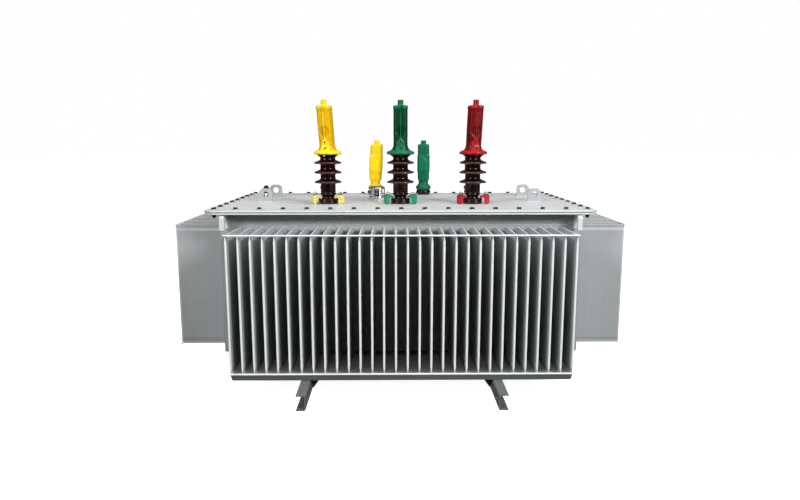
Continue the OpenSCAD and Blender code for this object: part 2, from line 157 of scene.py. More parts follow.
def add_hexagon(bm, centre, flats, height, turn=0.0, chamfer=1.2 * MM):
    """A bolt head or nut with chamfered corners, standing on centre."""
    r = flats / math.sqrt(3)
    rings = []
    levels = [(0, chamfer), (chamfer, 0), (height - chamfer, 0), (height, chamfer)]
    for z, cut in levels:
        ring = []
        for i in range(6):
            a = turn + math.pi / 3 * i
            ring.append(centre + Vector(((r - cut) * math.cos(a), (r - cut) * math.sin(a), z)))
        rings.append(ring)
    add_rings(bm, rings)


def add_thread(bm, centre, radius, length):
    """A threaded stud's end, standing on centre, with a chamfered tip."""
    pitch, tip = 1.75 * MM, 1.5 * MM
    profile = []
    turns = max(1, int((length - tip) / pitch))
    for i in range(turns):
        profile += [(radius * 0.88, i * pitch), (radius, (i + 0.5) * pitch)]
    profile += [(radius * 0.9, length - tip), (radius * 0.6, length)]
    add_lathe(bm, profile, centre, 14)


def add_washer(bm, centre, radius, thickness):
    """A washer with soft rims, lying on centre, without its hole, which the bolt fills."""
    c = thickness * 0.25
    profile = [(radius - c, 0), (radius, c), (radius, thickness - c), (radius - c, thickness)]
    add_lathe(bm, profile, centre, 24)


def add_bead(bm, start, stop, radius, step=5 * MM, sides=7):
    """A rippled, somewhat flat bead along a straight line."""
    flat = 0.6
    start, stop = Vector(start), Vector(stop)
    along = (stop - start).normalized()
    side = along.cross(Vector((0, 0, 1)))
    if side.length < 0.1:
        side = Vector((1, 0, 0))
    side.normalize()
    up = side.cross(along).normalized()
    count = max(3, int((stop - start).length / step))
    rings = []
    for i in range(count + 1):
        r = radius * (0.86 + 0.14 * math.sin(i * 2.1) + random.uniform(-0.06, 0.06))
        if i in (0, count):
            r *= 0.5
        centre = start + (stop - start) * i / count
        ring = []
        for k in range(sides):
            a = 2 * math.pi * k / sides
            ring.append(centre + side * r * math.cos(a) + up * r * flat * math.sin(a))
        rings.append(ring)
    add_rings(bm, rings)


def piece(name, bm, material, sharp, replaces=(), bevel=None):
    """Makes a piece from a bmesh, smooth up to the sharp angle, riding on the one body."""
    bmesh.ops.recalc_face_normals(bm, faces=bm.faces)
    mesh = bpy.data.meshes.new(name)
    bm.to_mesh(mesh)
    bm.free()
    mesh.polygons.foreach_set("use_smooth", [True] * len(mesh.polygons))
    mesh.set_sharp_from_angle(angle=math.radians(sharp))
    obj = bpy.data.objects.new(name, mesh)
    scene.collection.objects.link(obj)
    mesh.materials.append(material)
    if bevel:
        add_bevel(obj, bevel)
    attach(obj, "root")
    if replaces:
        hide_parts(*replaces)


def add_bevel(obj, width, segments=2, weld=False):
    """Rounds the hard edges of an object; weld first joins the split corners of a CAD mesh."""
    if weld:
        mod = obj.modifiers.new("weld", "WELD")
        mod.merge_threshold = 0.02 * MM
    mod = obj.modifiers.new("edge", "BEVEL")
    mod.width = width
    mod.segments = segments
    mod.limit_method = "ANGLE"
    mod.angle_limit = math.radians(40)
    mod.harden_normals = True


# ---------------------------------------------------------------- materials

RANGE_SOCKETS = ("From Min", "From Max", "To Min", "To Max")


class Look:
    """A Principled material with helpers that add procedural detail to it."""

    def __init__(self, name, roughness, metallic=0.0, specular=0.5, coat=0.0, coat_roughness=0.1):
        self.mat = bpy.data.materials.new(name)
        self.mat.use_nodes = True
        self.tree = self.mat.node_tree
        self.bsdf = self.tree.nodes["Principled BSDF"]
        self.bsdf.inputs["Roughness"].default_value = roughness
        self.bsdf.inputs["Metallic"].default_value = metallic
        self.bsdf.inputs["Specular IOR Level"].default_value = specular
        self.bsdf.inputs["Coat Weight"].default_value = coat
        self.bsdf.inputs["Coat Roughness"].default_value = coat_roughness
        self.coords = self.tree.nodes.new("ShaderNodeTexCoord").outputs["Object"]
        self.height = None

    def link(self, a, b):
        """Joins an output to an input."""
        self.tree.links.new(a, b)

    def noise(self, scale, detail, stretch=(1, 1, 1)):
        """A noise value over the object, stretched along its axes."""
        mapping = self.tree.nodes.new("ShaderNodeMapping")
        mapping.inputs["Scale"].default_value = stretch
        self.link(self.coords, mapping.inputs["Vector"])
        node = self.tree.nodes.new("ShaderNodeTexNoise")
        node.inputs["Scale"].default_value = scale
        node.inputs["Detail"].default_value = detail
        node.inputs["Roughness"].default_value = 0.55
        self.link(mapping.outputs["Vector"], node.inputs["Vector"])
        return node.outputs["Fac"]

    def ramp(self, value, low, high, colour_low, colour_high):
        """Turns a value into a colour between two colours."""
        node = self.tree.nodes.new("ShaderNodeValToRGB")
        first, last = node.color_ramp.elements
        first.position, last.position = low, high
        first.color = (*colour_low, 1)
        last.color = (*colour_high, 1)
        self.link(value, node.inputs["Fac"])
        return node.outputs["Color"]

    def mix(self, factor, a, b, blend="MIX"):
        """Blends two colours by a factor; each is a plain value or another node's output."""
        node = self.tree.nodes.new("ShaderNodeMix")
        node.data_type = "RGBA"
        node.blend_type = blend
        for socket, value in ((node.inputs[0], factor), (node.inputs[6], a), (node.inputs[7], b)):
            if isinstance(value, (int, float)):
                socket.default_value = value
            elif isinstance(value, tuple):
                socket.default_value = (*value, 1)
            else:
                self.link(value, socket)
        return node.outputs[2]

    def attribute(self, name):
        """A mask that a piece's points carry; 0 where they carry none."""
        node = self.tree.nodes.new("ShaderNodeAttribute")
        node.attribute_name = name
        return node.outputs["Fac"]

    def facing_up(self):
        """1 on faces that look up, 0 on the rest."""
        geometry = self.tree.nodes.new("ShaderNodeNewGeometry")
        split = self.tree.nodes.new("ShaderNodeSeparateXYZ")
        self.link(geometry.outputs["Normal"], split.inputs[0])
        return split.outputs["Z"]

    def colour(self, value):
        """Sets the base colour."""
        self.link(value, self.bsdf.inputs["Base Color"])

    def rough(self, value, low, high, at_low, at_high):
        """Sets the roughness, from at_low where the value is low to at_high where it is high."""
        node = self.tree.nodes.new("ShaderNodeMapRange")
        for socket, number in zip(RANGE_SOCKETS, (low, high, at_low, at_high)):
            node.inputs[socket].default_value = number
        self.link(value, node.inputs["Value"])
        self.link(node.outputs["Result"], self.bsdf.inputs["Roughness"])

    def bump(self, value, distance, strength=1.0):
        """Adds a bump on top of those already there."""
        node = self.tree.nodes.new("ShaderNodeBump")
        node.inputs["Distance"].default_value = distance
        node.inputs["Strength"].default_value = strength
        self.link(value, node.inputs["Height"])
        if self.height:
            self.link(self.height, node.inputs["Normal"])
        self.height = node.outputs["Normal"]
        self.link(self.height, self.bsdf.inputs["Normal"])


def scaled(colour, factor):
    """A colour made lighter or darker."""
    return tuple(min(1.0, c * factor) for c in colour)


def enamel(name, colour, edge=None, rough=0.42, dirt=0.86, dust_and_top_light=None):
    """Sprayed enamel: mottling, run-off streaks, specks and orange peel; where asked, a painted highlight on
    marked edges and dust with painted light on faces that look up.
    """
    look = Look(name, roughness=rough, specular=0.45)
    mottle = look.noise(2.6, detail=4)
    tone = look.ramp(mottle, 0.35, 0.65, scaled(colour, 0.95), scaled(colour, 1.04))
    streak = look.noise(7.0, detail=5, stretch=(6, 6, 0.35))
    tone = look.mix(0.35, tone, look.ramp(streak, 0.38, 0.6, (dirt, dirt, dirt), (1, 1, 1)), "MULTIPLY")
    speck = look.noise(420.0, detail=2)
    tone = look.mix(0.30, tone, look.ramp(speck, 0.30, 0.42, (0.72, 0.72, 0.72), (1, 1, 1)), "MULTIPLY")
    # dust, and painted light, on faces that look up
    if dust_and_top_light:
        tone = look.mix(look.ramp(look.facing_up(), 0.75, 1.0, (0, 0, 0), (0.6, 0.6, 0.6)), tone, dust_and_top_light)
    # painted highlight: marked edges, such as the fin noses, are lighter for the light they catch
    if edge:
        tone = look.mix(look.attribute("edge"), tone, edge)
    look.colour(tone)
    look.rough(look.noise(14.0, detail=4), 0.35, 0.65, rough - 0.07, rough + 0.09)
    look.bump(look.noise(520.0, detail=1), 0.12 * MM, 0.5)
    look.bump(look.noise(9.0, detail=2), 1.2 * MM, 0.35)
    return look.mat


def moulded(name, colour, deep, light):
    """Moulded plastic: faint flow marks, fine grain, painted shade in the hollows and a painted highlight on
    the ridges.
    """
    rough = 0.3
    look = Look(name, roughness=rough, specular=0.15, coat=0.05, coat_roughness=0.18)
    flow = look.noise(11.0, detail=5, stretch=(1, 1, 0.4))
    tone = look.ramp(flow, 0.32, 0.68, scaled(colour, 0.90), colour)
    # painted shade in the hollows; below, a painted highlight on the ridges
    tone = look.mix(look.attribute("painted_shade"), tone, deep)
    look.colour(look.mix(look.attribute("painted_highlight"), tone, light))
    look.rough(look.noise(60.0, detail=3), 0.3, 0.7, rough - 0.05, rough + 0.12)
    look.bump(look.noise(700.0, detail=1), 0.06 * MM, 0.5)
    look.bump(look.noise(35.0, detail=2), 0.5 * MM, 0.3)
    return look.mat


def glaze(name):
    """Dark brown glaze, lighter and redder on the rims."""
    look = Look(name, roughness=0.15, specular=0.24, coat=0.08, coat_roughness=0.05)
    pool = look.noise(16.0, detail=4, stretch=(1, 1, 1.6))
    tone = look.ramp(pool, 0.30, 0.70, (0.005, 0.0013, 0.0012), (0.012, 0.0026, 0.002))
    tone = look.mix(look.attribute("edge"), tone, (0.085, 0.028, 0.024))
    look.colour(tone)
    look.bump(look.noise(42.0, detail=2), 0.12 * MM, 0.25)
    return look.mat


def metal(name, colour, rough):
    """Bare metal with a brushed grain and small stains."""
    grain = (1, 1, 14)
    look = Look(name, roughness=rough, metallic=1.0)
    stain = look.noise(55.0, detail=5)
    tone = look.ramp(stain, 0.35, 0.62, scaled(colour, 0.75), colour)
    look.colour(tone)
    look.rough(look.noise(90.0, detail=3, stretch=grain), 0.3, 0.7, rough - 0.08, rough + 0.12)
    look.bump(look.noise(260.0, detail=2, stretch=grain), 0.05 * MM, 0.4)
    return look.mat


def rubber(name, colour):
    """Matte rubber, cloudy with dust or overspray."""
    look = Look(name, roughness=0.75, specular=0.3)
    look.colour(look.ramp(look.noise(60.0, detail=4), 0.3, 0.7, scaled(colour, 0.4), colour))
    look.bump(look.noise(600.0, detail=2), 0.1 * MM, 0.5)
    return look.mat


TANK_GREY = (0.330, 0.352, 0.356)
FIN_GREY = (0.360, 0.385, 0.392)
# painted highlight colour of the fin noses and ends
FIN_NOSE_HIGHLIGHT = (0.78, 0.79, 0.78)
# painted highlight: the round bars are drawn near-white, far lighter than the fin enamel, for the light along
# them
BAR_HIGHLIGHT_GREY = (0.72, 0.74, 0.74)
# the lid's light enamel; on the flange, the hooks and the fin sheet seam it is a painted highlight, a lit
# copy of the tank enamel
LID_AND_HIGHLIGHT_GREY = (0.600, 0.615, 0.615)
LUG_GREY = (0.345, 0.372, 0.382)
BASE_GREY = (0.122, 0.130, 0.133)
TRAY_GREY = (0.078, 0.083, 0.086)
# dust on the upward faces of the tray, lighter also as painted light falling on the tray tops
DUST_AND_TOP_LIGHT = (0.75, 0.76, 0.76)
# each plastic: its colour, its colour with painted shade for the hollows and its colour with painted
# highlight for the ridges
YELLOW = (0.66, 0.385, 0.001), (0.42, 0.21, 0.0), (0.88, 0.62, 0.010)
GREEN = (0.002, 0.044, 0.013), (0.001, 0.018, 0.006), (0.005, 0.145, 0.066)
RED = (0.135, 0.001, 0.002), (0.060, 0.001, 0.001), (0.34, 0.009, 0.012)
BLACK = (0.012, 0.012, 0.013), (0.004, 0.004, 0.004), (0.030, 0.030, 0.032)
MAT = {
    "tank_paint": enamel("tank enamel", TANK_GREY),
    # the fin noses and ends take a painted highlight
    "fin_paint": enamel("fin enamel", FIN_GREY, edge=FIN_NOSE_HIGHLIGHT, rough=0.36),
    # the bars' light colour is a painted highlight
    "bar_paint": enamel("bar highlight enamel", BAR_HIGHLIGHT_GREY, rough=0.32),
    # on the flange, hooks and seam this enamel is a painted highlight
    "lid_paint": enamel("lid and highlight enamel", LID_AND_HIGHLIGHT_GREY, dirt=0.93),
    "lug_paint": enamel("lug enamel", LUG_GREY, dirt=0.90),
    "base_paint": enamel("base enamel", BASE_GREY, dirt=0.75, rough=0.48),
    # the tray's upward faces take dust and painted light
    "tray_paint": enamel("tray enamel", TRAY_GREY, dirt=0.75, rough=0.48, dust_and_top_light=DUST_AND_TOP_LIGHT),
    "gasket_rubber": rubber("gasket rubber", (0.240, 0.250, 0.250)),
    # painted shadow: a black rubber for the bead that stands for the shade under the flange
    "shadow_black": rubber("shadow_black", (0.012, 0.012, 0.013)),
    "porcelain": glaze("brown glaze"),
    "yellow_cap": moulded("yellow plastic", *YELLOW),
    "green_cap": moulded("green plastic", *GREEN),
    "red_cap": moulded("red plastic", *RED),
    "black_cap": moulded("black plastic", *BLACK),
    "yellow_clamp": enamel("yellow clamp enamel", (0.71, 0.61, 0.14), dirt=0.7, rough=0.35),
    "green_clamp": enamel("green clamp enamel", (0.006, 0.24, 0.11), dirt=0.7, rough=0.35),
    "red_clamp": enamel("red clamp enamel", (0.42, 0.008, 0.012), dirt=0.7, rough=0.35),
    "bright_steel": metal("stainless steel", (0.80, 0.80, 0.80), 0.18),
    "zinc": metal("zinc plating", (0.62, 0.62, 0.60), 0.34),
    "bolt_steel": metal("blackened steel", (0.055, 0.055, 0.060), 0.38),
}


def dress(name, material, bevel=None, segments=2):
    """Gives a CAD node its material and, where asked, soft edges."""
    obj = nodes[name]
    obj.data.materials.clear()
    obj.data.materials.append(MAT[material])
    if bevel:
        add_bevel(obj, bevel, segments, weld=True)


# ---------------------------------------------------------------- fins

LONG_FINS = 30
SHORT_FINS = 12
FIN_THICK = 9 * MM


def fin_row(side):
    """Places of the fins of one side along its wall, from the box of the CAD's slabs."""
    low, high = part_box(f"{side}_cooling_fins")
    if side in ("front", "back"):
        count, length = LONG_FINS, high.x - low.x
    else:
        count, length = SHORT_FINS, high.y - low.y
    span = length - FIN_THICK
    return [-span / 2 + span * i / (count - 1) for i in range(count)]


def fin_rings(depth, height, full, thin, place):
    """Rings of one folded fin and their masks of painted highlight on its nose and ends: round nose, pinched
    and welded ends, flared root.
    """
    band = 12 * MM
    press = 30 * MM
    corner = 8 * MM
    bead = 3 * MM
    heights = [0, bead, bead + 1 * MM, band] + [band + (press - band) * k / 6 for k in range(1, 7)]
    levels = heights + [height - h for h in reversed(heights)]
    rings, masks = [], []
    for z in levels:
        end = min(z, height - z)
        half = thin + (full - thin) * smooth(end, band, press)
        if end <= bead:
            half = thin + 0.8 * MM
        tip = depth - max(0.0, corner - end) - half
        flank = [(half + 5 * MM, 0, 0), (half + 1.5 * MM, -2 * MM, 0), (half, -6 * MM, 0),
                 (half, -tip + 7 * MM, 0)]
        # painted highlight mask: full on the front of the nose, weaker on its sides, strong on the top and
        # bottom rings
        nose = [(x, y, 1 if y < -tip - half * 0.35 else 0.35) for x, y in arc((0, -tip), half, 0, -180, 8)]
        outline = flank + nose + [(-x, y, m) for x, y, m in reversed(flank)]
        lift = 0.9 if end < 1e-6 else 0.0
        rings.append([place @ Vector((x, y, z)) for x, y, m in outline])
        masks.append([max(m, lift) for x, y, m in outline])
    return rings, masks


def fins(side):
    """All the fins of one side, in place of the CAD's plain slabs."""
    low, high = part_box(f"{side}_cooling_fins")
    wall = reach_of(side, wall_low, wall_high)
    depth = reach_of(side, low, high) - wall
    bm = bmesh.new()
    edge = bm.verts.layers.float.new("edge")
    turn = Matrix.Rotation(math.radians(SIDES[side]), 4, "Z")
    for x in fin_row(side):
        place = turn @ Matrix.Translation((x, -wall, low.z))
        rings, masks = fin_rings(depth, high.z - low.z, FIN_THICK / 2, 1.5 * MM, place)
        for made, mask in zip(add_rings(bm, rings), masks):
            for v, m in zip(made, mask):
                v[edge] = m
    piece(f"{side}_fins", bm, MAT["fin_paint"], replaces=[f"{side}_cooling_fins"], sharp=50)


def bar_welds(side):
    """Small weld lumps where the round bars meet the fins."""
    bar_low, bar_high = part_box(f"{side}_fin_bars")
    reach = reach_of(side, bar_low, bar_high)
    rise, depth = 5.2 * MM, 5.5 * MM
    lump = Matrix.Diagonal((3.4 * MM, 4.0 * MM, 4.2 * MM, 1))
    turn = Matrix.Rotation(math.radians(SIDES[side]), 4, "Z")
    bm = bmesh.new()
    for x in fin_row(side):
        for z in (bar_low.z + rise, bar_high.z - rise):
            place = turn @ Matrix.Translation((x, -reach + depth, z)) @ lump
            bmesh.ops.create_icosphere(bm, subdivisions=1, radius=1, matrix=place)
    piece(f"{side}_bar_welds", bm, MAT["tank_paint"], sharp=180)


for fin_side in SIDES:
    fins(fin_side)
    bar_welds(fin_side)
    dress(f"{fin_side}_fin_bars", "bar_paint")

# ---------------------------------------------------------------- tank, lid and base

dress("tank_body", "tank_paint", bevel=2.5 * MM)
# painted highlight: the flange takes the lighter lid enamel for the light on its edge
dress("tank_flange", "lid_paint", bevel=1 * MM)
dress("lid_gasket", "gasket_rubber")
dress("lid", "lid_paint", bevel=3 * MM, segments=3)
# painted highlight: the hooks take the lighter lid enamel for the light on their faces
dress("tank_hooks", "lid_paint", bevel=2 * MM)
for lug_corner in CORNERS:
    dress(f"{lug_corner}_lug", "lug_paint", bevel=1.2 * MM)
dress("base_tray", "tray_paint", bevel=0.8 * MM)
for part in ("tank_floor_plate", "bearing_bars", "tray_packers", "channel_gussets",
             "left_base_channel", "right_base_channel"):
    dress(part, "base_paint", bevel=0.8 * MM)


def lug_welds():
    """Fillet welds round the feet of the four lid lugs."""
    leg = 4 * MM
    bm = bmesh.new()
    for corner in CORNERS:
        low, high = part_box(f"{corner}_lug")
        z = LID_TOP + 1 * MM
        for y in (low.y, high.y):
            add_bead(bm, (low.x - 2 * MM, y, z), (high.x + 2 * MM, y, z), leg)
        for x in (low.x, high.x):
            add_bead(bm, (x, low.y, z), (x, high.y, z), leg, step=3 * MM)
    piece("lug_welds", bm, MAT["lug_paint"], sharp=180)


def wall_seam(name, z, radius, material):
    """A bead that runs round the tank at one height: the weld seam above the fins, and the black bead of
    painted shadow under the flange.
    """
    bm = bmesh.new()
    for y in (wall_low.y, wall_high.y):
        add_bead(bm, (wall_low.x, y, z), (wall_high.x, y, z), radius, step=9 * MM, sides=6)
    for x in (wall_low.x, wall_high.x):
        add_bead(bm, (x, wall_low.y, z), (x, wall_high.y, z), radius, step=9 * MM, sides=6)
    piece(name, bm, material, sharp=180)


def hook_pads():
    """Doubling plates behind the four tank hooks, with their welds."""
    hook_low, hook_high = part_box("tank_hooks")
    hook_half = 10 * MM
    pad_half, pad_t, margin = 36 * MM, 3 * MM, 2 * MM
    bm = bmesh.new()
    for x_side in (-1, 1):
        x = x_side * (hook_high.x - hook_half)
        for wall, out in ((wall_low.y, -1), (wall_high.y, 1)):
            left, right = max(x - pad_half, wall_low.x + margin), min(x + pad_half, wall_high.x - margin)
            low_z, high_z = hook_low.z + 12 * MM, hook_high.z
            y_in, y_out = sorted((wall, wall + out * pad_t))
            add_box(bm, (left, y_in, low_z), (right, y_out, high_z))
            face = wall + out * pad_t
            for edge_x in (x - hook_half, x + hook_half):
                add_bead(bm, (edge_x, face, low_z + 3 * MM), (edge_x, face, high_z), 3 * MM)
    piece("hook_pads", bm, MAT["tank_paint"], bevel=0.8 * MM, sharp=60)


lug_welds()
# painted highlight: the seam bead above the fins takes the lighter lid enamel
wall_seam("fin_sheet_seam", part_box("front_cooling_fins")[1].z + 9 * MM, 2.2 * MM, MAT["lid_paint"])
# painted shadow: a black bead under the flange, where the wall lies in the flange's shade
wall_seam("flange_shadow_bead", flange_low.z - 6 * MM, 6 * MM, MAT["shadow_black"])
hook_pads()


# ---------------------------------------------------------------- lid bolts

BOLT_INSET_Y = 52.5 * MM
BOLT_INSET_X = 41 * MM
LONG_BOLTS = 15
LONG_PITCH = 104.75 * MM
SIDE_BOLTS = 9


def bolt_places():
    """Plan places of the lid bolts, each with True where the bolt has a nut under the flange."""
    row_y = lid_high.y - BOLT_INSET_Y
    row_x = lid_high.x - BOLT_INSET_X
    places = []
    for y in (-row_y, row_y):
        places += [(LONG_PITCH * (i - (LONG_BOLTS - 1) / 2), y, False) for i in range(LONG_BOLTS)]
    for x in (-row_x, row_x):
        places += [(x, -row_y + 2 * row_y * i / (SIDE_BOLTS - 1), True) for i in range(SIDE_BOLTS)]
    return places


def lid_bolts():
    """Hexagon heads and washers on the lid, and nuts or stud tips under the flange."""
    heads, washers = bmesh.new(), bmesh.new()
    head_h, nut_h, washer_t = 7.5 * MM, 10 * MM, 2.5 * MM
    flats, washer_r, thread_r = 18 * MM, 12 * MM, 6 * MM
    past_nut, past_flange = 7 * MM, 3 * MM
    for x, y, through in bolt_places():
        top = Vector((x, y, LID_TOP))
        add_washer(washers, top, washer_r, washer_t)
        add_hexagon(heads, top + Vector((0, 0, washer_t)), flats, head_h, random.uniform(0, math.pi / 3))
        under = Vector((x, y, flange_low.z))
        drop = nut_h + washer_t if through else 0
        if through:
            add_washer(washers, under - Vector((0, 0, washer_t)), washer_r, washer_t)
            add_hexagon(heads, under - Vector((0, 0, drop)), flats, nut_h, random.uniform(0, math.pi / 3))
        end = drop + (past_nut if through else past_flange)
        tip = [(thread_r * 0.6, -end), (thread_r * 0.9, -end + 1 * MM), (thread_r, -end + 2 * MM),
               (thread_r, -drop)]
        add_lathe(heads, tip, under, 14)
    piece("lid_bolts", heads, MAT["bolt_steel"], sharp=25)
    piece("lid_washers", washers, MAT["zinc"], sharp=40)


lid_bolts()

# ---------------------------------------------------------------- high-voltage bushings

CLAMP_TURNS = (90, 210, 330)
HV_RIM = 65.5 * MM


def porcelain_profile(top):
    """The (r, z) outline of the high-voltage porcelain, with round sheds."""
    body, foot = 36 * MM, 48 * MM
    sheds, first, pitch = 3, 104.5 * MM, 46 * MM
    outline = [(0.1 * MM, 0), (foot - 6 * MM, 0), (foot - 2 * MM, 5 * MM), (foot, 9 * MM),
               (foot - 2 * MM, 12 * MM), (foot, 15 * MM), (foot, 22 * MM), (foot - 4 * MM, 25 * MM),
               (body - 5 * MM, 26 * MM), (body - 7 * MM, 30 * MM), (body - 7 * MM, 36 * MM),
               (body - 1 * MM, 42 * MM), (body + 2 * MM, 45 * MM), (body + 2 * MM, 49 * MM),
               (body - 1 * MM, 52 * MM), (body, 54 * MM)]
    for i in range(sheds):
        z = first + i * pitch
        outline += [(body, z - 9 * MM), (body + 6 * MM, z - 6 * MM), (HV_RIM - 10 * MM, z - 5.5 * MM),
                    (HV_RIM - 3 * MM, z - 5 * MM), (HV_RIM, z - 2.5 * MM), (HV_RIM, z + 1.5 * MM),
                    (HV_RIM - 5 * MM, z + 5 * MM), (body + 12 * MM, z + 9.5 * MM),
                    (body + 3 * MM, z + 13 * MM), (body, z + 18 * MM)]
    outline += [(body, top - 14 * MM), (body + 5 * MM, top - 10 * MM), (body + 13 * MM, top - 4 * MM),
                (body + 15 * MM, top - 1 * MM), (body + 13 * MM, top)]
    return rounded(outline, 3.5 * MM, 3)


def hv_porcelain(phase):
    """A high-voltage bushing, whose glaze is lighter and redder towards the rims of its sheds."""
    node = f"hv_bushing_{phase}"
    centre = axis_of(node) + Vector((0, 0, LID_TOP))
    bm = bmesh.new()
    edge = bm.verts.layers.float.new("edge")
    add_lathe(bm, porcelain_profile(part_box(node)[1].z - LID_TOP), centre, 64)
    for v in bm.verts:
        radius = (v.co - centre).to_2d().length
        v[edge] = smooth(radius, HV_RIM - 9 * MM, HV_RIM) * 0.8
    piece(f"hv_porcelain_{phase}", bm, MAT["porcelain"], replaces=[node], sharp=70)


def clamp_outline(height, outer):
    """Side view of a claw: a leg with a round back, and a finger that reaches over the porcelain's foot."""
    leg_in, tip, pad_z = outer - 17 * MM, 39 * MM, 25.5 * MM
    under = pad_z + 6 * MM
    back = arc((outer - 9 * MM, height - 9 * MM), 9 * MM, 10, 90, 5)
    arch = arc((leg_in - 9 * MM, under - 9 * MM), 9 * MM, 0, 90, 6)
    heel = [(leg_in + 6 * MM, 0), (outer - 5 * MM, 0), (outer - 5 * MM, 3 * MM), (outer, 5 * MM)]
    finger = [(leg_in - 6 * MM, height), (tip + 6 * MM, height - 5 * MM), (tip + 1 * MM, height - 9 * MM),
              (tip, pad_z), (tip + 7 * MM, pad_z), (tip + 9 * MM, under)]
    return heel + back + finger + list(reversed(arch)) + [(leg_in, 14 * MM), (leg_in + 2 * MM, 6 * MM)]


def add_claw(bm, height, outer, place):
    """A claw whose finger narrows towards the porcelain."""
    leg_half, tip_half = 14 * MM, 7 * MM
    rings = []
    for side in (-1, 1):
        ring = []
        for x, z in clamp_outline(height, outer):
            half = tip_half + (leg_half - tip_half) * smooth(x, 42 * MM, outer - 14 * MM)
            ring.append(place @ Vector((x, -side * half, z)))
        rings.append(ring)
    add_rings(bm, rings)


def hv_clamps(phase):
    """The claws that hold a high-voltage bushing down, with their studs, nuts and washers."""
    node = f"hv_clamps_{phase}"
    low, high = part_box(node)
    centre = axis_of(f"hv_bushing_{phase}") + Vector((0, 0, LID_TOP))
    height, outer = high.z - low.z, high.y - centre.y
    stud_r = outer - 15 * MM
    washer_t, nut_h = 2.5 * MM, 9 * MM
    claws, studs, washers = bmesh.new(), bmesh.new(), bmesh.new()
    for turn in CLAMP_TURNS:
        a = math.radians(turn)
        add_claw(claws, height, outer, Matrix.Translation(centre) @ Matrix.Rotation(a, 4, "Z"))
        seat = centre + Vector((stud_r * math.cos(a), stud_r * math.sin(a), height - 0.5 * MM))
        add_washer(washers, seat, 11 * MM, washer_t)
        add_hexagon(studs, seat + Vector((0, 0, washer_t)), 17 * MM, nut_h, random.uniform(0, 1))
        add_thread(studs, seat + Vector((0, 0, washer_t + nut_h)), 5.5 * MM, 8 * MM)
    colour = PHASE_COLOUR[phase] + "_clamp"
    piece(f"hv_claws_{phase}", claws, MAT[colour], replaces=[node], bevel=1.5 * MM, sharp=50)
    piece(f"hv_clamp_studs_{phase}", studs, MAT["zinc"], sharp=30)
    piece(f"hv_clamp_washers_{phase}", washers, MAT["bolt_steel"], sharp=30)


# ---------------------------------------------------------------- moulded caps


def cap_rings(levels, place, segments, relief):
    """Rings of a moulded cap and their masks of painted shade and painted highlight. A level is (z, half
    width, roundness), where 2 is a circle.
    """
    rings, masks = [], []
    for z, half, power in levels:
        ring, mask = [], []
        for i in range(segments):
            a = 2 * math.pi * (i + 0.5) / segments
            c, s = math.cos(a), math.sin(a)
            r = half / (abs(c) ** power + abs(s) ** power) ** (1 / power)
            x, y = r * c, r * s
            push, painted_shade, painted_highlight = relief(x, y, z)
            ring.append(place(Vector((x, y + push, z))))
            mask.append((painted_shade, painted_highlight))
        rings.append(ring)
        masks.append(mask)
    return rings, masks


def fill_levels(levels, step):
    """Adds rings between levels that are further apart than step."""
    out = [levels[0]]
    for a, b in zip(levels, levels[1:]):
        parts = max(1, round(abs(b[0] - a[0]) / step))
        for k in range(1, parts + 1):
            t = k / parts
            out.append(tuple(p + (q - p) * t for p, q in zip(a, b)))
    return out


def leaning(centre, hinge_z, slope, turn):
    """Places a point of a cap that is turned on its axis and tips above the hinge."""
    spin = Matrix.Rotation(math.radians(turn), 4, "Z")

    def place(p):
        """Turns the point, then shifts it sideways by its height above the hinge."""
        q = spin @ p
        return centre + Vector((q.x + slope * max(0.0, q.z - hinge_z), q.y, q.z))
    return place


def cap(name, levels, place, colour, replaced, relief, segments, step):
    """A moulded cap, with masks for the painted shade in its hollows and the painted highlight on its ridges.
    """
    bm = bmesh.new()
    painted_shade = bm.verts.layers.float.new("painted_shade")
    painted_highlight = bm.verts.layers.float.new("painted_highlight")
    rings, masks = cap_rings(fill_levels(levels, step), place, segments, relief)
    for made, mask in zip(add_rings(bm, rings), masks):
        for v, (shade_mask, highlight_mask) in zip(made, mask):
            v[painted_shade] = shade_mask
            v[painted_highlight] = highlight_mask
    piece(name, bm, MAT[colour], replaces=[replaced], sharp=60)


def lean_of(node):
    """Middle of a CAD cap's foot along X, and how far its nib stands off that."""
    low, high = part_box(node)
    points = [v.co for v in nodes[node].data.vertices]
    upper = [p.x for p in points if p.z > high.z - 6 * MM]
    lower = [p.x for p in points if p.z < low.z + 12 * MM]
    middle = (max(lower) + min(lower)) / 2
    nib = (max(upper) + min(upper)) / 2
    return middle, nib - middle


FACE_FROM = 20 * MM  # relief is only put on a cap where it stands this far forward or back

# degrees that each cap is turned on its axis
HV_TURN = {"a": -12, "b": 0, "c": 10}
LV_TURN = {"n": 5, "a": -15, "b": 0, "c": 8}


